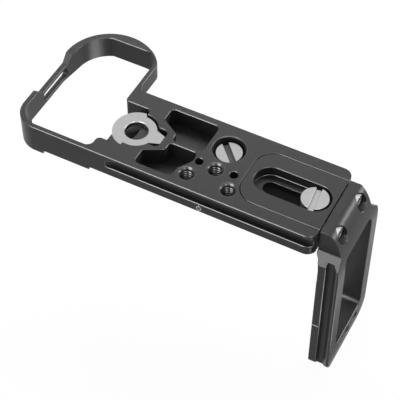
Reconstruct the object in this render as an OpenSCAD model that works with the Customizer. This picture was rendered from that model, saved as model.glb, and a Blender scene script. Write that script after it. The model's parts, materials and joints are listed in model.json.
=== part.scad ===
// An L-bracket for a camera: a base plate with an open grip loop, and a side plate on a sliding tongue.
// The origin is on the axis of the camera screw, on the face that the camera sits on.
// +X points to the side plate, +Y to the round side of the loop and +Z to the tripod side.

/* [View] */
// Piece to draw, or all of them

/* [Plate] */
// Width of the plate over its dovetail rails
plate_w = 38.6; // [37:0.1:42]
// Thickness of the plate
plate_t = 10.8; // [10:0.1:13]
// From the camera screw to the end of the plate at the side plate
plate_reach = 48.9; // [48.5:0.1:56]
// From the camera screw to the middle line of the plate
plate_offset = 7; // [6:0.1:8]
// Radius of the plate's corners at the side plate
plate_corner = 4; // [1:0.5:6]

/* [Dovetail rails] */
// Height of the upright edge beside the tripod face
rail_edge = 1.3; // [0.8:0.1:2]
// Depth of the groove behind that edge
rail_depth = 2; // [1:0.1:2.4]
// From the tripod face to the lower side of the plate's groove
rail_drop = 6.2; // [5:0.1:7]
// From the camera screw to the end of the groove
rail_start = 42.2; // [30:0.1:43]
// Radius of the cutter that leaves the groove's end
rail_cutter = 9; // [6:0.5:9.5]

/* [Grip loop] */
// From the camera screw to the outer side of the loop
loop_reach = 86.4; // [80:0.1:100]
// From the camera screw to the outer side of the loop's short wall
loop_neck = 48.1; // [47.5:0.1:50]
// Thickness of the loop's walls
loop_wall = 2.3; // [1.6:0.1:3.5]
// Radius of the loop's round side, as a share of the loop's length
loop_roundness = 0.538; // [0.5:0.002:0.56]
// How far the loop stands out behind the plate
loop_bulge = 26; // [22:0.5:32]
// Thickness of the round side at its middle
loop_crest = 4.6; // [3.6:0.1:8]
// Radius of the loop's near corner
loop_corner = 10.5; // [6:0.5:14]
// Radius of the shoulder between the round side and the short wall
shoulder_r = 6; // [3:0.5:9]
// Radius of the fillet between the short wall and the plate
neck_fillet = 3; // [1:0.5:4]
// Height of the gap under the short wall
neck_rise = 3.4; // [1:0.1:5]
// Depth of the lip under the near wall
lip_drop = 1.5; // [0.5:0.1:3]
// Depth of the lip at the near corner
lip_corner_drop = 3.2; // [1:0.1:5]

/* [Strap slot] */
// Length of the strap slot
strap_length = 19; // [12:0.5:24]
// Height of the strap slot
strap_height = 4.4; // [4:0.1:5]
// Depth of the notch above the strap slot
strap_notch = 3.4; // [2:0.1:4]

/* [Key] */
// From the camera screw to the middle of the key's finger hole
key_reach = 38.1; // [37.8:0.1:38.4]
// Radius of the finger hole
key_hole_r = 4.8; // [3:0.1:6]
// Outer radius of the key on its grip side
key_r = 10; // [9.6:0.1:10.3]
// Outer radius of the key on its blade side
key_neck_r = 8.3; // [7.5:0.1:8.7]
// From the middle of the finger hole to the tip of the blade
key_length = 11.8; // [10.5:0.1:12]
// Width of the blade's tip
key_tip = 4.2; // [3:0.1:6]
// Thickness of the key
key_t = 2.3; // [1.5:0.1:2.6]
// Depth of the key's face under the tripod face
key_sink = 1; // [0.3:0.1:1.2]
// Depth of the finger room beside the key
finger_depth = 8; // [5:0.2:9]
// Radius of the magnets under the key
magnet_r = 1.6; // [1:0.1:1.8]
// Thickness of the magnets
magnet_t = 2; // [1:0.1:3]

/* [Pockets and holes] */
// Depth of the two lightening pockets
pocket_depth = 8.6; // [4:0.2:9]
// Width of the rib between the pockets
pocket_rib = 1.6; // [1:0.1:4]
// From the edge of the plate to the pockets
pocket_margin = 3.2; // [3.1:0.1:5]
// From the plate's middle line of screws to the outer threaded holes
thread_x = 9.1; // [8.6:0.1:11]
// Tap radius of the threaded holes
thread_r = 2.6; // [2.2:0.05:3]
// Radius of the countersink round a threaded hole
thread_sink_r = 3.6; // [3.1:0.05:3.7]
// Radius of the anti-twist pin holes
pin_r = 1.75; // [1:0.05:2]

/* [Camera screw] */
// Radius of the camera thread
stud_r = 3.175; // [2.5:0.005:3.2]
// How far the camera screw stands out of the camera face
stud_length = 5; // [3.5:0.1:7]
// Radius of the camera screw's head
stud_head_r = 5.5; // [4.8:0.1:6]
// Height of the camera screw's head
stud_head_h = 4; // [2.5:0.1:4.4]
// Depth of the head under the tripod face
stud_head_sink = 1.9; // [1.7:0.1:2.4]
// Radius of the counterbore for the head
stud_bore_r = 6.75; // [6.4:0.05:7]
// Width of the chamfer round the counterbore
stud_bore_chamfer = 0.4; // [0.2:0.1:0.8]
// Angle of the screwdriver slot
stud_slot_angle = -46; // [-90:1:90]

/* [Slide and lock screw] */
// Width of the tongue
tongue_w = 27.5; // [26.5:0.1:28]
// Thickness of the tongue
tongue_t = 6.6; // [6.2:0.1:7]
// From the camera screw to the inner end of the tongue
tongue_start = 12; // [10.5:0.1:12.5]
// Radius of the tongue's inner corners
tongue_corner = 8.5; // [4:0.5:10]
// Wall between the slot and the tongue's inner end
slot_wall = 2.95; // [2.5:0.05:8]
// Width of the slot for the lock screw's head
slot_w = 13.5; // [12:0.1:13.5]
// Depth of the slot for the lock screw's head
slot_depth = 4.6; // [4:0.1:4.9]
// From the lock screw to the end of the plate
lock_setback = 8.2; // [8:0.1:9]
// Radius of the lock screw's thread
lock_r = 2.5; // [2.2:0.05:2.8]
// Radius of the lock screw's head
lock_head_r = 5.65; // [5:0.05:5.7]
// How far the lock screw rises when it is loosened
lock_lift = 0.8; // [0.4:0.1:0.9]
// Angle of the lock screw's slot
lock_slot_angle = 96; // [0:1:180]

/* [Side plate] */
// Gap between the plate and the side plate's block
end_gap = 0.4; // [0.3:0.1:1]
// Thickness of the side plate
arm_t = 9.2; // [9:0.1:11]
// From the block's inner face to the side plate's inner face
arm_step = 2.3; // [2:0.1:3]
// Height of the side plate, from the tripod face
arm_h = 81.5; // [70:0.5:95]
// Height of the block
block_h = 11.2; // [10.8:0.1:12]
// Width of the rails beside the side plate's window
window_side = 6.4; // [5:0.1:9]
// Height of the bar under the side plate's window
window_foot = 10; // [8:0.5:14]
// From the tripod face to the top of the window
window_top = 14; // [13:0.5:18]
// From the middle line to each of the block's screws
arm_screw_y = 9.2; // [9.1:0.1:9.6]
// Depth of those screws' axis under the tripod face
arm_screw_z = 3.9; // [3.8:0.1:4]
// Radius of the two holes in the bar
foot_hole_r = 1.75; // [1:0.05:2.5]

/* [Hidden] */
$fn = 96;
arc_step = 6;
fit = 0.05;
slide_gap = 0.2;

mid_y = -plate_offset;
front_y = mid_y - plate_w / 2;
back_y = mid_y + plate_w / 2;

loop_r = (loop_reach - loop_neck) * loop_roundness;
loop_x = loop_r - loop_reach;
loop_y = back_y + loop_bulge - loop_r;
shoulder_x = -loop_neck - shoulder_r;
shoulder_rise = sqrt(pow(loop_r - shoulder_r, 2) - pow(shoulder_x - loop_x, 2));
shoulder_angle = atan2(shoulder_rise, shoulder_x - loop_x);
window_left = loop_wall - loop_reach;
window_right = 0.4 - loop_neck - loop_wall;
window_front = front_y + loop_wall - 0.1;
window_back = back_y + loop_bulge - loop_crest;
inner_r = loop_r - loop_wall - 3;
inner_x = loop_x - 1.5;
inner_y = loop_y + 1.8;
chord_angle = 180 - asin(min(0.99, (window_back - inner_y) / inner_r));
lip_step_x = loop_x - 6;

key_x = -key_reach;
key_y = mid_y - 0.45;
key_floor = plate_t - key_sink - key_t;
key_room_r = key_neck_r + 0.8;
grip_room_r = key_r + 0.3;
blade_room_w = 9.6;
blade_room_x = key_x + key_length + 0.5;
notch_x = key_x - 7.6;
notch_front = mid_y - 11.1;
notch_back = key_y + grip_room_r + 1.6;
finger_x = key_x;
grip_x = key_x - 1.6;

pocket_left = key_x + 7.5;
pocket_nose = blade_room_x + 3.2;
pocket_right = -stud_bore_r - 2.1;
pocket_floor = plate_t - pocket_depth;
thread_y = -19;
thread_mid_y = -11.9;
pin_x = 7.7;
pin_y = -11.2;
pin_depth = 6;

stud_top = plate_t - stud_head_sink;
stud_seat = stud_top - stud_head_h;
stud_clip_room = stud_seat - 2.3;
stud_neck_r = stud_r - 0.6;
clip_t = 0.6;
clip_z = 0.1;

lock_x = plate_reach - lock_setback;
lock_y = mid_y;
slide_travel = lock_x - slot_w / 2 - slot_wall - tongue_start;
channel_floor = plate_t - tongue_t - fit;
slot_seat = plate_t - slot_depth;
lock_top = plate_t - 0.3;
lock_neck_r = lock_r - 0.5;
lock_clip_room = clip_z + clip_t + lock_lift + 0.1;
slot_inner_r = lock_r + 0.6;

block_x = plate_reach + end_gap;
arm_in = block_x + arm_step;
arm_out = arm_in + arm_t;
arm_foot = plate_t - arm_h;
block_half = tongue_w / 2 + 0.85;
arm_front = mid_y - plate_w / 2;
arm_back = mid_y + plate_w / 2;
arm_rail_drop = arm_t - 3.4;
shoulder_low = plate_t - block_h - 3.1;
shoulder_drop = 4.3;
bend_x = block_x + 5.1;
bend_drop = 5;
arm_screw_floor = block_x + 4.4;
arm_screw_r = 2;
arm_screw_head_r = 3.1;
arm_screw_head_h = 1.8;
arm_screw_bite = 6;
arm_screw_bore_r = 3.5;
foot_hole_z = arm_foot + window_foot * 0.52;

// Direction of a vector
function unit(v) = v / norm(v);

// A vector turned by an angle
function turned(v, a) = [v.x * cos(a) - v.y * sin(a), v.x * sin(a) + v.y * cos(a)];

// Points of an arc, without the first one when skip is 1
function arc(centre, r, from, to, skip = 0) =
    let (steps = ceil(abs(to - from) / arc_step))
    [for (i = [skip : steps]) centre + turned([r, 0], from + (to - from) * i / steps)];

// Points of the arc that rounds one corner [x, y, radius] between its neighbours
function corner(before, at, after) =
    let (
        here = [at.x, at.y],
        back = unit([before.x, before.y] - here),
        ahead = unit([after.x, after.y] - here),
        half = acos(back * ahead) / 2,
        centre = here + unit(back + ahead) * at.z / sin(half),
        start = here + back * at.z / tan(half) - centre,
        turn = (180 - 2 * half) * sign(cross(ahead, back)),
        steps = max(1, ceil(abs(turn) / arc_step))
    )
    at.z == 0 ? [here] : [for (i = [0 : steps]) centre + turned(start, turn * i / steps)];

// Outline through corners that each have a radius
function outline(corners) =
    let (n = len(corners))
    [for (i = [0 : n - 1]) each corner(corners[(i + n - 1) % n], corners[i], corners[(i + 1) % n])];

// Points as corners without a radius
function plain(points) = [for (p = points) [p.x, p.y, 0]];

// Section of a dovetail groove: distance from the side, distance from the tripod face
function groove(drop) = [
    [-1, rail_edge],
    [0, rail_edge],
    [rail_depth, rail_edge + rail_depth],
    [rail_depth, drop],
    [-1, drop]
];

// A flat shape in the plane of Y and Z, drawn out along X
module along_x(from, to) {
    translate([from, 0, 0]) rotate([90, 0, 90]) linear_extrude(to - from) children();
}

// A flat shape in the plane of X and Z, drawn out along Y
module along_y(from, to) {
    translate([0, to, 0]) rotate([90, 0, 0]) linear_extrude(to - from) children();
}

// A cylinder that stands on z
module post(r, from, to) {
    translate([0, 0, from]) cylinder(r = r, h = to - from);
}

// A cylinder along X
module bar(r, from, to) {
    translate([from, 0, 0]) rotate([0, 90, 0]) cylinder(r = r, h = to - from);
}

// The plate with the loop's outside
module plate_shape() {
    polygon(outline(concat(
        [
            [plate_reach, front_y, plate_corner],
            [plate_reach, back_y, plate_corner],
            [-loop_neck, back_y, neck_fillet]
        ],
        plain(arc([shoulder_x, loop_y + shoulder_rise], shoulder_r, 0, shoulder_angle)),
        plain(arc([loop_x, loop_y], loop_r, shoulder_angle, 180, 1)),
        [[-loop_reach, front_y, loop_corner]]
    )));
}

// The opening for the fingers
module loop_window() {
    polygon(outline(concat(
        [
            [window_left, window_front, loop_corner - loop_wall],
            [window_right, window_front, 3],
            [window_right, notch_front, 2],
            [notch_x, notch_front, 0.4],
            [notch_x, notch_back, 0.4],
            [window_right, notch_back, 1.4],
            [window_right, window_back, 5]
        ],
        plain(arc([inner_x, inner_y], inner_r, chord_angle, 174)),
        [[window_left, loop_y - 7, 12]]
    )));
}

module loop_ring() {
    difference() {
        plate_shape();
        loop_window();
    }
}

// The part of the loop's wall that hangs under the plate
module lip() {
    translate([0, 0, -lip_drop]) linear_extrude(lip_drop) intersection() {
        loop_ring();
        translate([lip_step_x, front_y - 1]) square([window_right - lip_step_x, window_front - front_y + 1]);
    }
    translate([0, 0, -lip_corner_drop]) linear_extrude(lip_corner_drop) intersection() {
        loop_ring();
        translate([-loop_reach - 1, front_y - 1]) square([loop_reach + lip_step_x + 1, loop_corner + 2]);
    }
}

// Notch and slot for the strap in the loop's long wall
module strap_cut() {
    strap_y = loop_y - 13.2;
    strap_z = plate_t - 7.2;
    half = strap_length / 2;
    along_x(-loop_reach - 1, window_left + 1) polygon([
        [strap_y - half - strap_notch, plate_t],
        [strap_y - half, plate_t - strap_notch],
        [strap_y + half, plate_t - strap_notch],
        [strap_y + half + strap_notch, plate_t],
        [strap_y + half + strap_notch, plate_t + 1],
        [strap_y - half - strap_notch, plate_t + 1]
    ]);
    along_x(-loop_reach - 1, window_left + 1) polygon(outline([
        [strap_y - half, strap_z - strap_height / 2, strap_height * 0.49],
        [strap_y + half, strap_z - strap_height / 2, strap_height * 0.49],
        [strap_y + half, strap_z + strap_height / 2, strap_height * 0.49],
        [strap_y - half, strap_z + strap_height / 2, strap_height * 0.49]
    ]));
}

// The gap under the loop's short wall
module neck_gap() {
    along_y(back_y + 1.5, back_y + loop_bulge + 1) polygon([
        [window_right - neck_rise - 1, -1],
        [window_right, neck_rise],
        [1 - loop_neck, neck_rise],
        [1 - loop_neck, -1]
    ]);
}

// Dovetail grooves on both sides of the plate, with the ends that a round cutter leaves
module plate_grooves() {
    cutter_x = sqrt(pow(rail_cutter, 2) - pow(rail_cutter - rail_depth, 2)) - rail_start;
    for (side = [-1, 1]) {
        along_x(cutter_x, plate_reach + 1)
            polygon([for (p = groove(rail_drop)) [mid_y + side * (plate_w / 2 - p.x), plate_t - p.y]]);
        translate([cutter_x, mid_y + side * (plate_w / 2 + rail_cutter - rail_depth), plate_t]) rotate_extrude() polygon([
            [0, -rail_edge],
            [rail_cutter - rail_depth, -rail_edge],
            [rail_cutter, -rail_edge - rail_depth],
            [rail_cutter, -rail_drop],
            [0, -rail_drop]
        ]);
    }
}

// The key's room on its grip side, which reaches further at the back than at the front
module grip_room() {
    intersection() {
        translate([key_x, key_y]) circle(grip_room_r);
        polygon([
            [notch_x - 1, key_y - key_r * 2],
            [grip_x, key_y - key_r * 2],
            [grip_x, key_y],
            [finger_x, key_y],
            [finger_x, key_y + key_r * 2],
            [notch_x - 1, key_y + key_r * 2]
        ]);
    }
}

// Room for the key: its seat, the blade's end and the deeper finger room
module key_room() {
    translate([0, 0, key_floor]) linear_extrude(plate_t) {
        translate([key_x, key_y]) circle(key_room_r);
        grip_room();
        polygon(outline([
            [key_x, key_y - blade_room_w / 2, 0],
            [blade_room_x, key_y - blade_room_w / 2, 2],
            [blade_room_x, key_y + blade_room_w / 2, 2],
            [key_x, key_y + blade_room_w / 2, 0]
        ]));
    }
    translate([0, 0, plate_t - finger_depth]) linear_extrude(plate_t) {
        grip_room();
        polygon(outline([
            [notch_x - 1, key_y, 0],
            [finger_x, key_y, 0],
            [finger_x, notch_back, 1.6],
            [notch_x - 1, notch_back, 0]
        ]));
    }
}

// The two lightening pockets
module pockets() {
    translate([0, 0, pocket_floor]) linear_extrude(plate_t) {
        polygon(outline([
            [pocket_nose, mid_y + pocket_rib / 2, 1.6],
            [pocket_right, mid_y + pocket_rib / 2, 2],
            [pocket_right, back_y - pocket_margin, 1.8],
            [pocket_left, back_y - pocket_margin, 1.8],
            [pocket_left, mid_y + 9.5, 0.8],
            [pocket_nose, mid_y + 4.7, 1.6]
        ]));
        polygon(outline([
            [pocket_left, front_y + pocket_margin, 1.8],
            [-thread_x - 4.8, front_y + pocket_margin, 1.8],
            [-thread_x - 4.8, thread_y + 0.9, 1.8],
            [pocket_right - 1, pin_y - 1, 1.8],
            [pocket_right - 1, mid_y - pocket_rib / 2, 2],
            [pocket_nose, mid_y - pocket_rib / 2, 1.6],
            [pocket_nose, mid_y - 5, 1.6],
            [pocket_left, mid_y - 9.2, 0.8]
        ]));
    }
}

// Positions of the threaded holes
thread_places = [[-thread_x, thread_y], [0, thread_mid_y], [thread_x, thread_y]];

module plate_holes() {
    for (place = thread_places) translate(place) {
        post(thread_r, -1, plate_t + 1);
        translate([0, 0, plate_t - thread_sink_r + thread_r])
            cylinder(r1 = thread_r, r2 = thread_sink_r + 0.1, h = thread_sink_r - thread_r + 0.1);
    }
    for (side = [-1, 1]) translate([side * pin_x, pin_y]) post(pin_r, plate_t - pin_depth, plate_t + 1);
    post(stud_bore_r, stud_seat, plate_t + 1);
    translate([0, 0, plate_t - stud_bore_chamfer])
        cylinder(r1 = stud_bore_r, r2 = stud_bore_r + stud_bore_chamfer + 0.1, h = stud_bore_chamfer + 0.1);
    post(stud_r + 0.3, -1, plate_t);
    post(stud_r + 2.4, -1, stud_clip_room);
}

// The channel for the tongue, and the lock screw's thread with the room for its clip
module channel() {
    gap = slide_gap;
    translate([0, 0, channel_floor]) linear_extrude(plate_t) polygon(outline([
        [tongue_start - gap * 1.5, mid_y - tongue_w / 2 - gap, tongue_corner],
        [plate_reach + 1, mid_y - tongue_w / 2 - gap, 0],
        [plate_reach + 1, mid_y + tongue_w / 2 + gap, 0],
        [tongue_start - gap * 1.5, mid_y + tongue_w / 2 + gap, tongue_corner]
    ]));
    translate([lock_x, lock_y]) {
        post(lock_r + fit, -1, plate_t);
        post(lock_r + 2.2, -1, lock_clip_room);
    }
}

magnet_places = [for (a = [-50, 50]) [key_x, key_y] + turned([key_neck_r - 2, 0], a)];

module base_plate() {
    color([0.22, 0.22, 0.23]) difference() {
        union() {
            linear_extrude(plate_t) loop_ring();
            lip();
        }
        strap_cut();
        neck_gap();
        plate_grooves();
        key_room();
        pockets();
        plate_holes();
        channel();
        for (place = magnet_places) translate(place) post(magnet_r + 0.02, key_floor - magnet_t, plate_t);
    }
}

module slide_tongue() {
    color([0.24, 0.24, 0.25]) difference() {
        translate([0, 0, plate_t - tongue_t]) linear_extrude(tongue_t) polygon(outline([
            [tongue_start, mid_y - tongue_w / 2, tongue_corner],
            [block_x, mid_y - tongue_w / 2, 0],
            [block_x, mid_y + tongue_w / 2, 0],
            [tongue_start, mid_y + tongue_w / 2, tongue_corner]
        ]));
        for (cut = [[slot_w / 2, slot_seat], [slot_inner_r, 0]]) {
            translate([lock_x, lock_y]) post(cut[0], cut[1], plate_t + 1);
            translate([lock_x - slide_travel, lock_y]) post(cut[0], cut[1], plate_t + 1);
            translate([lock_x - slide_travel, lock_y - cut[0], cut[1]]) cube([slide_travel, cut[0] * 2, plate_t]);
        }
        translate([block_x - end_gap, mid_y - tongue_w, plate_t - 2]) cube([end_gap + 1, tongue_w * 2, 3]);
        for (side = [-1, 1]) translate([0, mid_y + side * arm_screw_y, plate_t - arm_screw_z])
            bar(arm_screw_r + 0.03, block_x - arm_screw_bite - 0.5, block_x + 1);
    }
}

// Outline of the side plate and its block, seen from the side of the camera
module side_plate_face() {
    polygon(outline([
        [arm_front, arm_foot, 3.7],
        [arm_back, arm_foot, 8],
        [arm_back, shoulder_low, 0.6],
        [mid_y + block_half, shoulder_low + shoulder_drop, 1.6],
        [mid_y + block_half, plate_t, 0.4],
        [mid_y - block_half, plate_t, 0.4],
        [mid_y - block_half, shoulder_low + shoulder_drop, 1.6],
        [arm_front, shoulder_low, 0.6]
    ]));
}

// Section of the side plate with the bend over the block
module side_plate_section() {
    polygon(outline([
        [block_x, plate_t, 0],
        [block_x, plate_t - block_h, 0.5],
        [arm_in, shoulder_low, 1],
        [arm_in, arm_foot - 1, 0],
        [arm_out, arm_foot - 1, 0],
        [arm_out, plate_t - bend_drop * 3, 30],
        [bend_x + bend_drop * 0.64, plate_t - bend_drop, 20],
        [bend_x, plate_t, 4.5]
    ]));
}

module side_plate() {
    color([0.22, 0.22, 0.23]) difference() {
        intersection() {
            along_x(block_x, arm_out) side_plate_face();
            along_y(arm_front - 1, arm_back + 1) side_plate_section();
        }
        along_x(block_x - 1, arm_out + 1) polygon(outline([
            [arm_front + window_side, arm_foot + window_foot, 3],
            [arm_back - window_side, arm_foot + window_foot, 3],
            [arm_back - window_side, plate_t - window_top, 3],
            [arm_front + window_side, plate_t - window_top, 3]
        ]));
        for (side = [-1, 1]) {
            translate([0, 0, arm_foot - 1]) linear_extrude(arm_h)
                polygon([for (p = groove(arm_rail_drop)) [arm_out - p.y, mid_y + side * (plate_w / 2 - p.x)]]);
            translate([0, mid_y + side * arm_screw_y, plate_t - arm_screw_z]) {
                bar(arm_screw_r + 0.3, block_x - 1, arm_out);
                bar(arm_screw_bore_r, arm_screw_floor, arm_out + 1);
            }
        }
        for (y = [0.4, 8.9]) translate([0, mid_y + y, foot_hole_z]) bar(foot_hole_r, block_x, arm_out + 1);
    }
}

module arm_screws() {
    color([0.75, 0.75, 0.77]) for (side = [-1, 1])
        translate([0, mid_y + side * arm_screw_y, plate_t - arm_screw_z]) difference() {
            union() {
                bar(arm_screw_r, block_x - arm_screw_bite, arm_screw_floor + 0.5);
                bar(arm_screw_head_r, arm_screw_floor, arm_screw_floor + arm_screw_head_h);
            }
            translate([arm_screw_floor + arm_screw_head_h - 1.2, 0, 0]) rotate([0, 90, 0])
                cylinder(r = 1.45, h = 2, $fn = 6);
        }
}

// A slot across a screw's head, as wide as the key is thick
module screw_slot(r, top, angle) {
    translate([0, 0, top]) rotate([0, 0, angle]) cube([r * 2 + 1, key_t + 0.1, 2.8], center = true);
}

module lock_screw() {
    color([0.8, 0.8, 0.8]) translate([lock_x, lock_y]) difference() {
        union() {
            post(lock_r, clip_z + clip_t + 0.05, slot_seat + 0.5);
            post(lock_neck_r, clip_z - 0.05, clip_z + clip_t + 0.5);
            post(lock_head_r, slot_seat + fit, lock_top);
        }
        screw_slot(lock_head_r, lock_top, lock_slot_angle);
    }
}

// A retaining clip: a flat ring that is open on one side
module clip(inner, outer) {
    translate([0, 0, clip_z]) linear_extrude(clip_t) difference() {
        circle(outer);
        circle(inner);
        translate([0, -inner * 0.7]) square([outer + 1, inner * 1.4]);
    }
}

module lock_screw_clip() {
    color([0.55, 0.55, 0.56]) translate([lock_x, lock_y]) clip(lock_neck_r + fit, lock_r + 1.8);
}

module camera_screw() {
    color([0.8, 0.8, 0.8]) difference() {
        union() {
            translate([0, 0, -stud_length]) cylinder(r1 = stud_r - 0.5, r2 = stud_r, h = 0.5);
            post(stud_r, 0.5 - stud_length, 0);
            post(stud_neck_r, -0.5, clip_z + clip_t + 0.5);
            post(stud_r, clip_z + clip_t + 0.05, stud_seat + 0.5);
            post(stud_head_r, stud_seat, stud_top);
        }
        screw_slot(stud_head_r, stud_top, stud_slot_angle);
    }
}

module camera_screw_clip() {
    color([0.55, 0.55, 0.56]) clip(stud_neck_r + fit, stud_r + 2);
}

module flat_key() {
    color([0.8, 0.8, 0.8]) translate([key_x, key_y, key_floor]) linear_extrude(key_t) difference() {
        union() {
            circle(key_neck_r);
            intersection() {
                circle(key_r);
                polygon([
                    [-key_r * 2, -key_r * 2],
                    [-1.8, -key_r * 2],
                    [-1.8, 0],
                    [0.1, 0],
                    [0.1, key_neck_r],
                    [-1.6, key_neck_r + 2.8],
                    [-key_r * 2, key_neck_r + 2.8]
                ]);
            }
            polygon([
                [key_hole_r + 0.5, -4],
                [key_neck_r - 0.6, -3.6],
                [key_length, -key_tip / 2],
                [key_length, key_tip / 2],
                [key_neck_r - 0.6, 3.6],
                [key_hole_r + 0.5, 4]
            ]);
        }
        circle(key_hole_r);
    }
}

module key_magnets() {
    color([0.7, 0.7, 0.7]) for (place = magnet_places)
        translate(place) post(magnet_r, key_floor - magnet_t, key_floor);
}

base_plate();
slide_tongue();
side_plate();
arm_screws();
lock_screw();
lock_screw_clip();
camera_screw();
camera_screw_clip();
flat_key();
key_magnets();
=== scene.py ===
# %% [markdown]
# # An L-bracket for a camera
# The bracket comes out of CAD as exact solids. This lesson gives those solids the looks of the real
# thing: dark anodised aluminium with fine bright edges, satin steel screws and key, cut threads and white
# marks. Nothing that CAD made is moved or changed: finished copies stand where CAD put the solids. Sizes
# in this lesson are in millimetres, apart from those of the hung lamps and the floor's width, which are
# in metres.

# %% Load the CAD frame
import json
import math

import bmesh
import bpy
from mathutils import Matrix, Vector
from mathutils.kdtree import KDTree

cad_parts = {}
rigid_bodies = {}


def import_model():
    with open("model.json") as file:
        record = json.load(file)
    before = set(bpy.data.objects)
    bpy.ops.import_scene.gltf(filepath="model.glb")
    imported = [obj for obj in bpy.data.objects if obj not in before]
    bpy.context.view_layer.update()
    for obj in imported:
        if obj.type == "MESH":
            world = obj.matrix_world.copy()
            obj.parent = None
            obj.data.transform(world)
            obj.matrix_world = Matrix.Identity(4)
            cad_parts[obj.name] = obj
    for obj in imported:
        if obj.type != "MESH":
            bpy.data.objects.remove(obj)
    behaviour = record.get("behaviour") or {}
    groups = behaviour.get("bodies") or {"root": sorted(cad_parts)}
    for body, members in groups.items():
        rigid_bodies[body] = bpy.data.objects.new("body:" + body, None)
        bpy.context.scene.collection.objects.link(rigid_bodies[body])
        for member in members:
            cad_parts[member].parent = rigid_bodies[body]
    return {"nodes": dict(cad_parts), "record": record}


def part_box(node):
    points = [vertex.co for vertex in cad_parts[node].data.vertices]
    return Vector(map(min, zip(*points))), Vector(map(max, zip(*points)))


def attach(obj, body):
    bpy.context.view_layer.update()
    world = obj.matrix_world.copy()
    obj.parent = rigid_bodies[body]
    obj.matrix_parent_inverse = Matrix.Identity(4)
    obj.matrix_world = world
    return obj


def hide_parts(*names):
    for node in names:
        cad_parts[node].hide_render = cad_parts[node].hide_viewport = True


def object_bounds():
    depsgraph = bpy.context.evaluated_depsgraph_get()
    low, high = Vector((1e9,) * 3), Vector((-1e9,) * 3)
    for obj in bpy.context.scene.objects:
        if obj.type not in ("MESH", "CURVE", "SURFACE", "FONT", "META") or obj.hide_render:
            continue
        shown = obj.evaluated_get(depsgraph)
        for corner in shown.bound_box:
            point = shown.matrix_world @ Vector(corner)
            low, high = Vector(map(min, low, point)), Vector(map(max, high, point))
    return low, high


MM = 0.001

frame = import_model()
nodes = frame["nodes"]
record = frame["record"]
cad_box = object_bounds()
scene = bpy.context.scene
scene.view_settings.view_transform = "Standard"
print("CAD nodes:", sorted(nodes))
print("CAD box in mm:", [[round(c / MM, 1) for c in corner] for corner in cad_box])

# %% [markdown]
# ## The camera
# The straight edges of the photographed plate run along three directions, so their vanishing points give
# the lens and the viewing angle. A long lens was used, from about half a metre away, looking 50 degrees
# down. The camera is set from those numbers directly instead of being aimed by eye.

# %% Place the camera
AZIMUTH = 27.687
ELEVATION = 50.072
FOCAL = 124.27
SENSOR = 36.0
VIEWPOINT = (160.516, -331.0, 418.661)
NEAREST = 10

lens = bpy.data.cameras.new("photo_camera")
lens.lens = FOCAL
lens.sensor_width = SENSOR
lens.sensor_fit = "HORIZONTAL"
lens.clip_start = NEAREST * MM
camera = bpy.data.objects.new("photo_camera", lens)
camera.location = [c * MM for c in VIEWPOINT]
camera.rotation_euler = (math.radians(90 - ELEVATION), 0, math.radians(AZIMUTH))
scene.collection.objects.link(camera)
scene.camera = camera
print("camera at", [round(c, 3) for c in camera.location])

# %% [markdown]
# ## The white room
# The photograph is a catalogue picture on white. Strong light from all round would give that white, but
# it would bleach the bracket too. So the room is white only where the camera, a reflection or a look
# through glass meets it, and as a light it stays dim. The Light Path node tells these two kinds of rays
# apart.

# %% Build the white room
WHITE = (1, 1, 1, 1)
SEEN_WHITE = 1.0
ROOM_LIGHT = 0.1


def seen_rays(tree):
    """A value that is 1 for rays from the camera, reflections and glass, and 0 for the light itself."""
    path = tree.nodes.new("ShaderNodeLightPath")
    value = path.outputs["Is Camera Ray"]
    for kind in ("Is Glossy Ray", "Is Transmission Ray"):
        larger = tree.nodes.new("ShaderNodeMath")
        larger.operation = "MAXIMUM"
        tree.links.new(value, larger.inputs[0])
        tree.links.new(path.outputs[kind], larger.inputs[1])
        value = larger.outputs[0]
    return value


def white_all_round(strength):
    """A white background for the room."""
    background = room.nodes.new("ShaderNodeBackground")
    background.inputs["Color"].default_value = WHITE
    background.inputs["Strength"].default_value = strength
    return background.outputs[0]


world = bpy.data.worlds.new("white_room")
world.use_nodes = True
scene.world = world
room = world.node_tree
room.nodes.clear()
either = room.nodes.new("ShaderNodeMixShader")
room_out = room.nodes.new("ShaderNodeOutputWorld")
room.links.new(seen_rays(room), either.inputs[0])
room.links.new(white_all_round(ROOM_LIGHT), either.inputs[1])
room.links.new(white_all_round(SEEN_WHITE), either.inputs[2])
room.links.new(either.outputs[0], room_out.inputs["Surface"])
print("room as seen:", SEEN_WHITE, "as a light:", ROOM_LIGHT)

# %% [markdown]
# ## The floor
# The bracket stands on a wide sheet of white paper. Plain matt paper would look grey under soft lamps, so
# for the camera and for reflections the paper glows white like the room. A small share of it stays matt,
# which keeps a trace of the bracket's shadow.

# %% Mix the white paper
SHADOW_SHARE = 0.06
PAPER_GLOW = 1.03
PAPER_GREY = 0.9

paper = bpy.data.materials.new("white_paper")
paper.use_nodes = True
tree = paper.node_tree
tree.nodes.clear()
matt = tree.nodes.new("ShaderNodeBsdfDiffuse")
matt.inputs["Color"].default_value = (PAPER_GREY, PAPER_GREY, PAPER_GREY, 1)
glow = tree.nodes.new("ShaderNodeEmission")
glow.inputs["Color"].default_value = WHITE
glow.inputs["Strength"].default_value = PAPER_GLOW
share = tree.nodes.new("ShaderNodeMath")
share.operation = "MULTIPLY"
share.inputs[1].default_value = 1 - SHADOW_SHARE
blend = tree.nodes.new("ShaderNodeMixShader")
paper_out = tree.nodes.new("ShaderNodeOutputMaterial")
tree.links.new(seen_rays(tree), share.inputs[0])
tree.links.new(share.outputs[0], blend.inputs[0])
tree.links.new(matt.outputs[0], blend.inputs[1])
tree.links.new(glow.outputs[0], blend.inputs[2])
tree.links.new(blend.outputs[0], paper_out.inputs["Surface"])
print("the paper glows", PAPER_GLOW, "and keeps a share of", SHADOW_SHARE, "for the shadow")

# %% Lay the floor
FLOOR_SIZE = 6.0
FLOOR_GAP = 0.5


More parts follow.
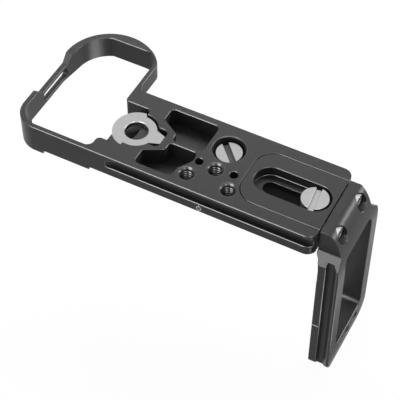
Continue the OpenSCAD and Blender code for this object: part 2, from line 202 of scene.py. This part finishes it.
def flat_sheet(name, x_ends, y_ends, z, finish):
    """A level four-sided sheet, placed in metres."""
    mesh = bpy.data.meshes.new(name)
    corners = [(x_ends[i], y_ends[k], 0) for i, k in ((0, 0), (1, 0), (1, 1), (0, 1))]
    mesh.from_pydata(corners, [], [(0, 1, 2, 3)])
    mesh.materials.append(finish)
    sheet = bpy.data.objects.new(name, mesh)
    sheet.location.z = z
    scene.collection.objects.link(sheet)
    print(name, "at z =", round(z / MM, 1), "mm")
    return sheet


floor_z = cad_box[0][2] - FLOOR_GAP * MM
floor_ends = (-FLOOR_SIZE / 2, FLOOR_SIZE / 2)
floor = flat_sheet("floor", floor_ends, floor_ends, floor_z, paper)

# %% [markdown]
# ## A card of painted shade beside the foot
# The outer face of the side plate mirrors the glowing paper right down to its foot, while in the
# photograph it turns darker there. A card laid on the paper stands in for the shade beside the foot, as
# painted shade: it is matt and doesn't glow, so it mirrors darker than the paper. It shows in reflections
# only, and casts no shadow.

# %% Lay the card
CARD_X = (62, 74)
CARD_Y = (-28, 44)
CARD_LIFT = 0.2
CARD_GREY = 0.85

# Painted shade: a card seen only in reflections, in place of the shade on the paper by the foot
card = bpy.data.materials.new("dark_card")
card.use_nodes = True
card_shader = card.node_tree.nodes["Principled BSDF"]
card_shader.inputs["Base Color"].default_value = (CARD_GREY, CARD_GREY, CARD_GREY, 1)
card_shader.inputs["Roughness"].default_value = 1.0
card_ends = [[c * MM for c in ends] for ends in (CARD_X, CARD_Y)]
flag = flat_sheet("dark_card", *card_ends, floor_z + CARD_LIFT * MM, card)
flag.visible_camera = False
flag.visible_diffuse = False
flag.visible_shadow = False

# %% [markdown]
# ## The lamps
# A studio lights a dark object twice. Large soft lamps light its matt surface, and softboxes stand where
# its bevels and round edges mirror them as bright lines. One lamp could do both jobs, but then neither
# could be set without the other, so here each lamp is seen either by matt surfaces or by shiny ones. The
# dyed metal mirrors only a few hundredths of the light, and steel about half of it. A softbox that draws
# a line on the one would burn out the other. Light linking solves that: a softbox shines on one
# collection of pieces only.

# %% Hang the lamps for matt surfaces
dyed = bpy.data.collections.new("dyed_metal")
arm_only = bpy.data.collections.new("side_plate_only")
bright = bpy.data.collections.new("bright_metal")


def soft_lamp(name, place, turned, size, radiance, shines_on=None):
    """An area lamp of a given brightness that lights matt surfaces, or else shines on one collection."""
    lamp = bpy.data.lights.new(name, "AREA")
    lamp.shape = "RECTANGLE"
    lamp.size, lamp.size_y = size
    lamp.energy = radiance * math.pi * size[0] * size[1]
    holder = bpy.data.objects.new(name, lamp)
    holder.location = place
    holder.rotation_euler = turned
    holder.visible_camera = False
    holder.visible_diffuse = shines_on is None
    holder.visible_glossy = shines_on is not None
    if shines_on:
        holder.light_linking.receiver_collection = shines_on
    scene.collection.objects.link(holder)
    print(name, "power", round(lamp.energy, 3), "W")


def hung_lamp(name, place, size, radiance, shines_on=None):
    """A lamp that faces the bracket."""
    turned = Vector(place).to_track_quat("Z", "Y").to_euler()
    soft_lamp(name, place, turned, size, radiance, shines_on)


hung_lamp("back_strip", (-0.03, 0.115, 0.19), (0.45, 0.07), 8.2)
hung_lamp("front_fill", (-0.5, -0.55, 0.1), (0.5, 0.4), 1.8)
hung_lamp("side_fill", (0.75, 0.1, -0.02), (0.5, 0.4), 1.2)
hung_lamp("rear_fill", (-0.35, 0.65, 0.12), (0.5, 0.4), 1.6)

# %% Hang the softboxes
for name, place, size, on_dyed, on_arm, on_steel in (
    ("side_softbox", (0.616, 0.456, 0.24), (0.4, 0.35), 5.5, 33.0, 2.0),
    ("edge_softbox", (-0.24, -0.56, 0.52), (0.45, 0.6), 11.0, 28.0, 2.0),
    ("corner_softbox", (0.5, -0.34, 0.47), (0.3, 0.3), 6.0, 0.0, 2.0),
    ("top_softbox", (0.0, 0.1, 0.9), (0.6, 0.5), 4.0, 0.0, 1.0),
):
    hung_lamp(name, place, size, on_dyed, dyed)
    if on_arm:
        hung_lamp(name + "_for_arm", place, size, on_arm, arm_only)
    hung_lamp(name + "_for_steel", place, size, on_steel, bright)

# %% [markdown]
# ## Bright cards on the table
# Seen from above, upright walls mirror the table, where no softbox hangs. Two bright cards lie there, one
# for the inner wall of the grip loop and one for a rounded corner. Each is a lamp that faces up and is
# seen only in dyed metal. Bright patches could be painted into the finish instead, but they would stay in
# place when the view moves.

# %% Lay the bright cards
BRIGHT_CARD_LIFT = 2


def table_card(name, place, size, angle, radiance):
    """A bright card on the table; place and size in mm, angle in degrees."""
    spot = (place[0] * MM, place[1] * MM, floor_z + BRIGHT_CARD_LIFT * MM)
    facing_up = (math.pi, 0, math.radians(angle))
    soft_lamp(name, spot, facing_up, [side * MM for side in size], radiance, dyed)


table_card("loop_card", (-14, 2), (40, 40), 0, 17.0)
table_card("corner_card", (94, -45), (46, 7), -27.6, 9.0)

# %% [markdown]
# ## Dyed aluminium
# Anodised aluminium is metal under a thin dyed skin of oxide. The skin is what the eye meets: it is dark,
# it has a weak clear shine, and the bead-blasted metal below gives it a fine grain. A plain dark metal
# shader would turn black inside the pockets, so the skin is made as a dark ground with a low index of
# refraction. Where an edge was broken or a hole was cut, the surface is smoother. Those faces get a
# darker ground and a higher index, so they flash where they mirror a lamp and stay dark elsewhere. The
# floor of the channel under the tongue is painted near black with hardly any shine, as painted shade for
# the deep floor seen through the slot.

# %% Dye the aluminium
GRAIN_DETAIL = 3.0
GRAIN_DEPTH = 0.01
DARK_BELOW = 0.3
PALE_ABOVE = 0.7


def grain_noise(tree, grain, stretch):
    """A fine noise that stays with the piece; stretch draws it out along an axis."""
    place = tree.nodes.new("ShaderNodeTexCoord")
    scale = tree.nodes.new("ShaderNodeMapping")
    scale.inputs["Scale"].default_value = stretch
    noise = tree.nodes.new("ShaderNodeTexNoise")
    noise.inputs["Scale"].default_value = grain
    noise.inputs["Detail"].default_value = GRAIN_DETAIL
    tree.links.new(place.outputs["Object"], scale.inputs["Vector"])
    tree.links.new(scale.outputs["Vector"], noise.inputs["Vector"])
    return noise.outputs["Fac"]


def grainy_finish(name, dark, pale, grain, rough, bump, stretch=(1, 1, 1), metallic=1.0, index=1.45):
    """A finish whose colour, roughness and surface follow a fine noise."""
    finish = bpy.data.materials.new(name)
    finish.use_nodes = True
    tree = finish.node_tree
    shader = tree.nodes["Principled BSDF"]
    shader.inputs["Metallic"].default_value = metallic
    shader.inputs["IOR"].default_value = index
    noise = grain_noise(tree, grain, stretch)
    tone = tree.nodes.new("ShaderNodeValToRGB")
    tone.color_ramp.elements[0].position = DARK_BELOW
    tone.color_ramp.elements[0].color = (*dark, 1)
    tone.color_ramp.elements[1].position = PALE_ABOVE
    tone.color_ramp.elements[1].color = (*pale, 1)
    gloss = tree.nodes.new("ShaderNodeMapRange")
    gloss.inputs["To Min"].default_value, gloss.inputs["To Max"].default_value = rough
    relief = tree.nodes.new("ShaderNodeBump")
    relief.inputs["Strength"].default_value = bump
    relief.inputs["Distance"].default_value = GRAIN_DEPTH * MM
    tree.links.new(noise, tone.inputs["Fac"])
    tree.links.new(tone.outputs["Color"], shader.inputs["Base Color"])
    tree.links.new(noise, gloss.inputs["Value"])
    tree.links.new(gloss.outputs["Result"], shader.inputs["Roughness"])
    tree.links.new(noise, relief.inputs["Height"])
    tree.links.new(relief.outputs["Normal"], shader.inputs["Normal"])
    print("finish:", name, "roughness", rough)
    return finish


anodised = grainy_finish(
    "dark_anodised", (0.055, 0.055, 0.057), (0.067, 0.067, 0.069),
    grain=3200, rough=(0.28, 0.36), bump=0.1, metallic=0.0, index=1.21,
)
worn = grainy_finish(
    "burnished_edge", (0.022, 0.022, 0.023), (0.036, 0.036, 0.037),
    grain=1800, rough=(0.26, 0.34), bump=0.05, metallic=0.0, index=1.6,
)
cut = grainy_finish(
    "cut_metal", (0.012, 0.012, 0.0125), (0.02, 0.02, 0.0205),
    grain=2600, rough=(0.22, 0.3), bump=0.08, metallic=0.0, index=1.6,
)
# Painted shade: near black with hardly any shine, for the floor of the channel deep under the slot
channel_shade = grainy_finish(
    "dry_film", (0.003, 0.003, 0.003), (0.006, 0.006, 0.006),
    grain=2400, rough=(0.7, 0.8), bump=0.1, metallic=0.0, index=1.15,
)

# %% [markdown]
# ## Steel and nickel
# The screws and the key are stainless steel, a true metal with a pale colour. Grinding leaves fine lines
# on it, which are noise drawn out along one axis. The key's punched rim and a saw-cut slot are the same
# steel, left rough; their darker colour is painted shade, for the dim surroundings the rim mirrors and the
# shade deep in the slot. The clips are darker spring steel, and the magnets are plated with nickel, which
# is a little warmer. A picture of ground steel would have to be unwrapped onto every piece, while noise in
# the piece's own space fits at once.

# %% Grind the steel
steel = grainy_finish(
    "satin_steel", (0.46, 0.46, 0.46), (0.5, 0.5, 0.5),
    grain=1600, rough=(0.28, 0.34), bump=0.08, stretch=(0.2, 1, 1),
)
# Partly painted shade: rough steel for the key's rim, darker as the dim surroundings it mirrors
sheared_and_shaded = grainy_finish(
    "sheared_steel", (0.17, 0.17, 0.17), (0.26, 0.26, 0.26), grain=1800, rough=(0.4, 0.5), bump=0.12
)
# Painted shade: rough dark steel for the camera screw's slot floor and the arm screws' sockets
sawn_and_shaded = grainy_finish(
    "sawn_steel", (0.08, 0.08, 0.08), (0.16, 0.16, 0.155), grain=2200, rough=(0.5, 0.6), bump=0.15
)
spring = grainy_finish(
    "clip_steel", (0.26, 0.26, 0.27), (0.34, 0.34, 0.35), grain=1500, rough=(0.35, 0.45), bump=0.1
)
nickel = grainy_finish(
    "nickel_plate", (0.5, 0.49, 0.47), (0.58, 0.57, 0.55), grain=900, rough=(0.15, 0.25), bump=0.05
)

# %% [markdown]
# ## A finish for every piece
# The plate, the tongue and the side plate were milled from aluminium and dyed together. The other pieces
# are steel hardware and plated magnets. The CAD nodes get these finishes, and the copies that are made of
# them below take them over.

# %% Choose a finish for every node
FINISH = {
    "base_plate": anodised,
    "slide_tongue": anodised,
    "side_plate": anodised,
    "arm_screws": steel,
    "lock_screw": steel,
    "camera_screw": steel,
    "flat_key": steel,
    "lock_screw_clip": spring,
    "camera_screw_clip": spring,
    "key_magnets": nickel,
}
for name, finish in FINISH.items():
    nodes[name].data.materials.clear()
    nodes[name].data.materials.append(finish)
print("finished nodes:", len(FINISH))

# %% [markdown]
# ## Broken edges
# Milled parts are tumbled or deburred before they are dyed, so none of their edges is sharp: each one
# ends in a narrow flat that mirrors a lamp as a thin bright line. Those lines are most of what the eye
# sees of a dark part. They could be faked with a shader that bends the light near an edge, but a line
# that is narrower than a pixel needs a real surface. So each solid gets a copy with bevelled edges, and
# the copy stands for the CAD node. First each piece says how wide its edges are broken, from where an
# edge is and whether it points outwards.

# %% Measure the plate and the tongue
def box_mm(name):
    """The lowest and highest corner of a node, in mm."""
    return [Vector(corner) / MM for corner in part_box(name)]


plate_low, plate_high = box_mm("base_plate")
tongue_low, tongue_high = box_mm("slide_tongue")
joints = {joint["name"]: joint for joint in record["behaviour"]["joints"]}
slot_end = Vector(joints["lock_turn"]["pos_m"]).xy / MM
slot_start = slot_end - Vector((joints["arm_slide"]["range_m"][1] / MM, 0))
print("the tongue's slot runs from x =", round(slot_start.x, 1), "to", round(slot_end.x, 1), "mm")

# %% Say how wide the milled edges are broken
PLATE_EDGE = 0.22
SIDE_PLATE_EDGE = 0.2
STEP_EDGE = 0.15
FINE_EDGE = 0.1
SLOT_EDGE = 0.06
SLOT_REACH = 5
STEP_REACH = 7.2
NEAR = 0.5


def at_seam(point):
    """Whether a point is at the end of the plate or the tongue, which meets the side plate's block."""
    return point.x > plate_high.x - NEAR


def base_width(point, convex):
    """The plate's rim round the tongue is broken finely, and its end stays sharp at the block."""
    beside_tongue = tongue_low.y - NEAR < point.y < tongue_high.y + NEAR
    at_tongue = beside_tongue and point.x > tongue_low.x - 2 * NEAR
    return convex * (not at_seam(point)) * (FINE_EDGE if at_tongue else PLATE_EDGE)


def tongue_width(point, convex):
    """The tongue's slot has a clear rim and a broken inner corner at its step, and a fine rim below it."""
    nearest = Vector((min(max(point.x, slot_start.x), slot_end.x), slot_end.y))
    off = (point.xy - nearest).length
    if off < SLOT_REACH:
        return convex * SLOT_EDGE
    if off < STEP_REACH:
        return STEP_EDGE
    return convex * (not at_seam(point)) * FINE_EDGE


print("milled edges are broken by", SLOT_EDGE, "to", PLATE_EDGE, "mm")

# %% Say how wide the edges of the hardware are broken
KEY_HOLE = (-38.1, -7.45)
KEY_HOLE_R = 4.8
KEY_HOLE_EDGE = 0.3
KEY_HOLE_MARGIN = 0.2
SCREW_EDGE = 0.15
THIN_EDGE = 0.12


def key_width(point, convex):
    """The key is punched from sheet, and only the hole for a finger or a ring has its edge broken."""
    return convex * KEY_HOLE_EDGE * (math.dist(point.xy, KEY_HOLE) < KEY_HOLE_R + KEY_HOLE_MARGIN)


def even_width(width):
    """The same width for all edges that point outwards."""
    return lambda point, convex: convex * width


WIDTH = {
    "base_plate": base_width,
    "slide_tongue": tongue_width,
    "side_plate": even_width(SIDE_PLATE_EDGE),
    "arm_screws": even_width(SCREW_EDGE),
    "lock_screw": even_width(THIN_EDGE),
    "camera_screw": even_width(SCREW_EDGE),
    "flat_key": key_width,
    "lock_screw_clip": even_width(THIN_EDGE),
    "camera_screw_clip": even_width(THIN_EDGE),
    "key_magnets": even_width(SCREW_EDGE),
}
print("pieces with broken edges:", len(WIDTH))

# %% [markdown]
# ## A copy that can be bevelled
# CAD hands over triangles, and a bevel runs badly over those. The copy is first welded, its flat faces
# are joined, and its long edges are cut into short stretches, so that a stretch can be left sharp on its
# own. One shape is mended on the way. The floor under the key drops by a step for the finger, and in CAD
# that step has a small jog, just where it shows through the key's hole. In the photograph the step is
# straight, so the copy's is too.

# %% Prepare the copies
SHARP = math.radians(35)
FLAT = math.radians(0.5)
WELD = 0.002
STRETCH = 2.5
STEP_JOG = 1.6
SAME_PLACE = 0.1


def turn(edge):
    """How far the surface turns across an edge, 0 where it is flat."""
    return edge.calc_face_angle(0.0)


def middle(edge):
    """The middle of an edge."""
    return (edge.verts[0].co + edge.verts[1].co) / 2


def straighten_step(shell):
    """Takes the jog out of the step in the floor under the key."""
    jog = (KEY_HOLE[0] - STEP_JOG, KEY_HOLE[1])
    for vert in shell.verts:
        if math.dist(vert.co.xy / MM, jog) < SAME_PLACE:
            vert.co.x = KEY_HOLE[0] * MM


def joined_copy(name):
    """A copy of a node with its flat faces joined and its long sharp edges cut into stretches."""
    shell = bmesh.new()
    shell.from_mesh(nodes[name].data)
    if name == "base_plate":
        straighten_step(shell)
    bmesh.ops.remove_doubles(shell, verts=shell.verts, dist=WELD * MM)
    bmesh.ops.dissolve_limit(shell, angle_limit=FLAT, verts=shell.verts, edges=shell.edges)
    cuts = {}
    for edge in shell.edges:
        count = int(edge.calc_length() / (STRETCH * MM))
        if count and turn(edge) > SHARP:
            cuts.setdefault(count, []).append(edge)
    for count, edges in cuts.items():
        bmesh.ops.bisect_edges(shell, edges=edges, cuts=count)
    return shell


trial = joined_copy("base_plate")
triangles = len(nodes["base_plate"].data.polygons)
print("base plate:", triangles, "triangles joined to", len(trial.faces), "faces")
trial.free()

# %% [markdown]
# ## Where a bevel would fold
# Where several edges crowd together, a bevel can fold over itself. Blender can clamp a bevel, but then
# the narrowest spot makes all edges narrow. So each try is searched for folds, which are edges where the
# surface turns back on itself, and the stretches near them stay sharp in the next try. Folds that the
# plain copy has already, such as the feather edge of a tapered cut, don't count.

# %% Find the folds
FOLD = math.radians(140)


def fold_spots(shell):
    """The middles of all edges where the surface turns back on itself."""
    bmesh.ops.triangulate(shell, faces=shell.faces)
    return [middle(edge) for edge in shell.edges if turn(edge) > FOLD]


def spot_tree(spots):
    """A tree that finds the nearest spot quickly."""
    tree = KDTree(len(spots))
    for i, spot in enumerate(spots):
        tree.insert(spot, i)
    tree.balance()
    return tree


def farther(tree, point, reach):
    """Whether a point keeps a distance in mm from every spot of a tree."""
    place, _, distance = tree.find(point)
    return place is None or distance > reach * MM


for name in WIDTH:
    trial = joined_copy(name)
    print(name, "feather edges before the bevel:", len(fold_spots(trial)))
    trial.free()

# %% [markdown]
# ## The bevel
# The edges of one width are bevelled together, and the narrow ones go first. The bevel's own faces get
# the second finish of the piece. Blender may store the new faces in another order in each run, so they
# are sorted by place before the next step.

# %% Read the widths off a copy
def width_of(name, edge):
    """The width in mm to which an edge is broken, 0 where it stays as it is."""
    return WIDTH[name](middle(edge) / MM, edge.is_convex) if turn(edge) > SHARP else 0


def widths_in(name, shell):
    """All widths in mm to which edges of a copy are broken, narrow ones first."""
    return sorted({width_of(name, edge) for edge in shell.edges} - {0})


trial = joined_copy("slide_tongue")
print("widths on the tongue:", widths_in("slide_tongue", trial))
trial.free()

# %% Break the edges
TRIES = 8
CLEARANCE = 0.8
MORE_CLEARANCE = 0.4
SAME_FOLD = 0.3
SLANT = Vector((1.0, 3.1, 7.3))


def settle_order(shell):
    """Sorts all elements along a slanted line, so that the next step meets them in the same order."""
    shell.verts.sort(key=lambda vert: vert.co.dot(SLANT))
    shell.edges.sort(key=lambda edge: middle(edge).dot(SLANT))
    shell.faces.sort(key=lambda face: face.calc_center_median().dot(SLANT))


def bevel_pass(shell, edges, width):
    """Bevels some edges to a width in mm."""
    bmesh.ops.bevel(
        shell,
        geom=edges,
        offset=width * MM,
        segments=1,
        profile=0.5,
        affect="EDGES",
        material=1,
        clamp_overlap=False,
    )
    settle_order(shell)


def bevelled_copy(name):
    """A copy with its edges broken to their widths, apart from those where the bevel would fold."""
    plain = joined_copy(name)
    widths = widths_in(name, plain)
    feather = fold_spots(plain)
    plain.free()
    known = spot_tree(feather)
    spots = list(feather)
    for attempt in range(TRIES):
        shell = joined_copy(name)
        near = spot_tree(spots)
        reach = CLEARANCE + MORE_CLEARANCE * attempt
        for width in widths:
            edges = [edge for edge in shell.edges if width_of(name, edge) == width]
            bevel_pass(shell, [edge for edge in edges if farther(near, middle(edge), reach)], width)
        folds = [spot for spot in fold_spots(shell) if farther(known, spot, SAME_FOLD)]
        if not folds:
            break
        spots += folds
        shell.free()
    print(name, "widths:", widths, "tries:", attempt + 1, "new folds:", len(folds))
    return shell


bevelled = {name: bevelled_copy(name) for name in WIDTH}

# %% [markdown]
# ## Finished pieces
# Each bevelled copy becomes an object that rides on the body of its node. Curves are shaded smooth, and
# edges that turn more than a little stay crisp. On a narrow bevel, plain smooth shading would bend the
# light across the flat faces beside it. The Weighted Normal modifier lets the large faces decide, so they
# stay flat.

# %% Put the copies in place
SMOOTH = math.radians(26)
NEARLY_FLAT = math.radians(0.3)
BODY = {node: body for body, members in record["behaviour"]["bodies"].items() for node in members}
SLOT = {row["node"]: row["material_slot"] for row in record["subparts"]}


def add_piece(name, shell, finishes, body, slot):
    """Makes an object of a shell: curves are shaded smooth, edges stay crisp, and it moves with a body."""
    for face in shell.faces:
        face.smooth = True
    for edge in shell.edges:
        edge.smooth = turn(edge) < SMOOTH
    mesh = bpy.data.meshes.new(name)
    shell.to_mesh(mesh)
    shell.free()
    for finish in finishes:
        mesh.materials.append(finish)
    piece = bpy.data.objects.new(name, mesh)
    scene.collection.objects.link(piece)
    (bright if slot == "steel" else dyed).objects.link(piece)
    if name.startswith("side_plate"):
        arm_only.objects.link(piece)
    even = piece.modifiers.new("flat_faces_first", "WEIGHTED_NORMAL")
    even.keep_sharp = True
    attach(piece, body)
    return piece


def replace_node(name):
    """Puts the bevelled copy in the place of a CAD node."""
    shell = bevelled[name]
    bmesh.ops.dissolve_limit(
        shell, angle_limit=NEARLY_FLAT, verts=shell.verts, edges=shell.edges, delimit={"MATERIAL"}
    )
    edge_finish = worn if FINISH[name] == anodised else FINISH[name]
    piece = add_piece(name + "_finished", shell, [FINISH[name], edge_finish], BODY[name], SLOT[name])
    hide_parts(name)
    print(piece.name, "faces:", len(piece.data.polygons), "body:", BODY[name])
    return piece


finished = {name: replace_node(name) for name in WIDTH}

# %% [markdown]
# ## Faces with a finish of their own
# Some faces were made in another way than the rest of their piece: countersinks are turned, the key's rim
# was cut by the punch, the screw slots by a saw, and the sockets are broached. Some carry painted shade:
# the key's rim is darker as the dim surroundings it mirrors, and the slot's floor, the sockets and the
# floor of the tongue's channel are dark as the shade deep inside them. A second object for each would
# leave seams, so these faces of the finished piece are picked by their place and the way they face.

# %% Refinish the faces of the plate
LEVEL = 0.9
SLOPING = 0.4
COUNTERSINK_DEPTH = 1.2
CHANNEL_GAP = 0.4
THREAD_SINK_R = 4
SCREW_SINK_R = 8
SIDES = ("left", "middle", "right")

mounts = {mount["name"]: mount for mount in record["mounts"]}
sinks = [("thread_" + side, THREAD_SINK_R) for side in SIDES] + [("camera_stud", SCREW_SINK_R)]
sunk_holes = [(Vector(mounts[name]["pos_m"]).xy / MM, reach) for name, reach in sinks]


def refinish(name, finish, chosen):
    """Gives another finish to faces of a piece, chosen by their normal and their place in mm."""
    mesh = finished[name].data
    if finish.name not in mesh.materials:
        mesh.materials.append(finish)
    faces = [face for face in mesh.polygons if chosen(face.normal, face.center / MM)]
    for face in faces:
        face.material_index = mesh.materials.find(finish.name)
    print(name, "faces with", finish.name + ":", len(faces))


def in_countersink(normal, point):
    """The cones round the screw and thread holes were turned, and shine like the threads."""
    off = min(math.dist(point.xy, hole) - reach for hole, reach in sunk_holes)
    return SLOPING < normal.z < LEVEL and plate_high.z - point.z < COUNTERSINK_DEPTH and off < 0


def in_channel(normal, point):
    """The channel's floor under the tongue shows through the slot, and is painted near black as its shade.
    """
    under_tongue = abs(point.z - tongue_low.z) < CHANNEL_GAP and point.x > tongue_low.x - 2 * NEAR
    return normal.z > LEVEL and under_tongue


refinish("base_plate", cut, in_countersink)
# Painted shade on the floor of the tongue's channel
refinish("base_plate", channel_shade, in_channel)

# %% Refinish the faces of the key and the screws
UPRIGHT = 0.5
SLOT_DEPTHS = (0.5, 2)
SOCKET_R = 1.5
SOCKET_DEPTHS = (0.1, 1.3)

stud_top = box_mm("camera_screw")[1].z
screws_low, screws_high = box_mm("arm_screws")


def on_key_rim(normal, point):
    """The key was punched from sheet; its rim is rough, and painted darker as a dim reflection."""
    return abs(normal.z) < UPRIGHT and math.dist(point.xy, KEY_HOLE) > KEY_HOLE_R + NEAR


def in_screw_slot(normal, point):
    """The camera screw's slot was cut by a saw; its floor is rough, and painted dark as its shade."""
    return normal.z > LEVEL and SLOT_DEPTHS[0] < stud_top - point.z < SLOT_DEPTHS[1]


def in_socket(normal, point):
    """The sockets of the two arm screws were broached; they are rough, and painted dark inside as shade.
    """
    head_r = (screws_high.z - screws_low.z) / 2
    off = min(
        math.dist((point.y, point.z), (y, screws_low.z + head_r))
        for y in (screws_low.y + head_r, screws_high.y - head_r)
    )
    return off < SOCKET_R and SOCKET_DEPTHS[0] < screws_high.x - point.x < SOCKET_DEPTHS[1]


# Partly painted shade on the key's rim
refinish("flat_key", sheared_and_shaded, on_key_rim)
# Painted shade in the screw slot and the sockets
refinish("camera_screw", sawn_and_shaded, in_screw_slot)
refinish("arm_screws", sawn_and_shaded, in_socket)

# %% [markdown]
# ## Cut threads
# The three tapped holes and the camera screw have a thread of 20 turns to the inch. CAD keeps them as
# plain round faces, because a thread there would only slow down the motion model. The Screw modifier
# could wind a thread, but its ends would be blunt. Here a ridge with a pointed section is wound step by
# step along a helix, so that it can run out at both ends. Its foot lies a little inside the wall that
# carries it.

# %% Wind the threads
PITCH = 25.4 / 20
AROUND = 40
FOOT_DEPTH = 0.08
FOOT_HALF = 0.38
CREST_HALF = 0.07
END_GAP = 0.4
RUN_OUT = 0.4
LEAST_CREST = 0.05


def thread_ridge(name, centre, radius, crest, ends, finish, body, slot):
    """A helical ridge in mm: radius is the wall, crest the ridge's top, ends its reach in z."""
    shell = bmesh.new()
    foot = radius + (FOOT_DEPTH if crest < radius else -FOOT_DEPTH)
    steps = int((ends[1] - ends[0] - PITCH * END_GAP * 2) / PITCH * AROUND)
    rings = []
    for i in range(steps + 1):
        angle = 2 * math.pi * i / AROUND
        z = ends[0] + PITCH * END_GAP + PITCH * i / AROUND
        taper = min(1.0, i / (AROUND * RUN_OUT), (steps - i) / (AROUND * RUN_OUT))
        top = foot + (crest - foot) * max(LEAST_CREST, taper)
        ring = []
        for r, dz in ((foot, -FOOT_HALF), (top, -CREST_HALF), (top, CREST_HALF), (foot, FOOT_HALF)):
            point = (centre[0] + r * math.cos(angle), centre[1] + r * math.sin(angle), z + dz * PITCH)
            ring.append(shell.verts.new([c * MM for c in point]))
        rings.append(ring)
    for one, two in zip(rings, rings[1:]):
        for k in range(4):
            shell.faces.new((one[k], one[(k + 1) % 4], two[(k + 1) % 4], two[k]))
    shell.faces.new(rings[0])
    shell.faces.new(rings[-1])
    bmesh.ops.recalc_face_normals(shell, faces=shell.faces)
    add_piece(name, shell, [finish], body, slot)
    print(name, "turns:", round(steps / AROUND, 1))


# %% Thread the holes and the camera screw
TAPPED_HEIGHT = 0.3
TAPPED_FROM = 0.2
TAPPED_UNDER_TOP = 1.0
STUD_HEIGHT = 0.22
STUD_ENDS = (-4.5, -0.5)

tapped_ends = (TAPPED_FROM, plate_high.z - TAPPED_UNDER_TOP)
for side in SIDES:
    mount = mounts["thread_" + side]
    hole = [c / MM for c in mount["pos_m"]]
    bore = mount["dims"]["r_mm"]
    crest = bore - TAPPED_HEIGHT
    thread_ridge("tapped_thread_" + side, hole, bore, crest, tapped_ends, cut, "base", "anodised")
stud_r = mounts["camera_stud"]["dims"]["r_mm"]
thread_ridge("camera_thread", (0, 0), stud_r, stud_r + STUD_HEIGHT, STUD_ENDS, steel, "stud", "steel")

# %% [markdown]
# ## White index marks
# Two marks are filled with white paint: a ring with two ticks on the plate's lower rail, which shows
# where the lens axis is, and one tick on the side plate's rail. They could be painted by a material, but
# a mark this small needs a clean outline. So each is a thin inlay that stands a few hundredths of a
# millimetre out of the rail.

# %% Shape an inlay
PAINT_PROUD = 0.03
PAINT_DEEP = 0.05

white_paint = grainy_finish(
    "white_paint", (0.82, 0.82, 0.81), (0.9, 0.9, 0.89),
    grain=2500, rough=(0.5, 0.6), bump=0.05, metallic=0.0,
)


def inlay(name, outlines, y, body):
    """Flat strips on a face that looks along -Y; each outline is a closed list of (x, z) points in mm."""
    shell = bmesh.new()
    for points in outlines:
        front = [shell.verts.new((x * MM, (y - PAINT_PROUD) * MM, z * MM)) for x, z in points]
        back = [shell.verts.new((x * MM, (y + PAINT_DEEP) * MM, z * MM)) for x, z in points]
        shell.faces.new(front)
        shell.faces.new(back[::-1])
        for k in range(len(points)):
            n = (k + 1) % len(points)
            shell.faces.new((front[k], back[k], back[n], front[n]))
    bmesh.ops.recalc_face_normals(shell, faces=shell.faces)
    add_piece(name, shell, [white_paint], body, "anodised")
    print(name, "strips:", len(outlines))


# %% Paint the marks
RAIL_Z = 2.1
RING_R = 1.2
RING_HOLE_R = 0.7
TICK_HALF = 0.22
TICK_ENDS = (0.4, 4.0)
SIDE_TICK = (51.8, -42.85, 54.5, -42.15)


def bar_outline(x0, z0, x1, z1):
    """The four corners of an upright rectangle."""
    return [(x0, z0), (x1, z0), (x1, z1), (x0, z1)]


def ring_outlines(x, z, outer, inner, pieces=24):
    """A flat ring as a row of small four-sided strips."""
    strips = []
    for i in range(pieces):
        a, b = (2 * math.pi * k / pieces for k in (i, i + 1))
        corners = ((outer, a), (outer, b), (inner, b), (inner, a))
        strips.append([(x + r * math.cos(t), z + r * math.sin(t)) for r, t in corners])
    return strips


lens_mark = ring_outlines(0, RAIL_Z, RING_R, RING_HOLE_R)
lens_mark.append(bar_outline(-TICK_HALF, RAIL_Z + RING_R, TICK_HALF, TICK_ENDS[1]))
lens_mark.append(bar_outline(-TICK_HALF, TICK_ENDS[0], TICK_HALF, RAIL_Z - RING_R))
inlay("lens_axis_mark", lens_mark, plate_low.y, "base")
arm_front = box_mm("side_plate")[0].y
inlay("side_mark", [bar_outline(*SIDE_TICK)], arm_front, "arm")
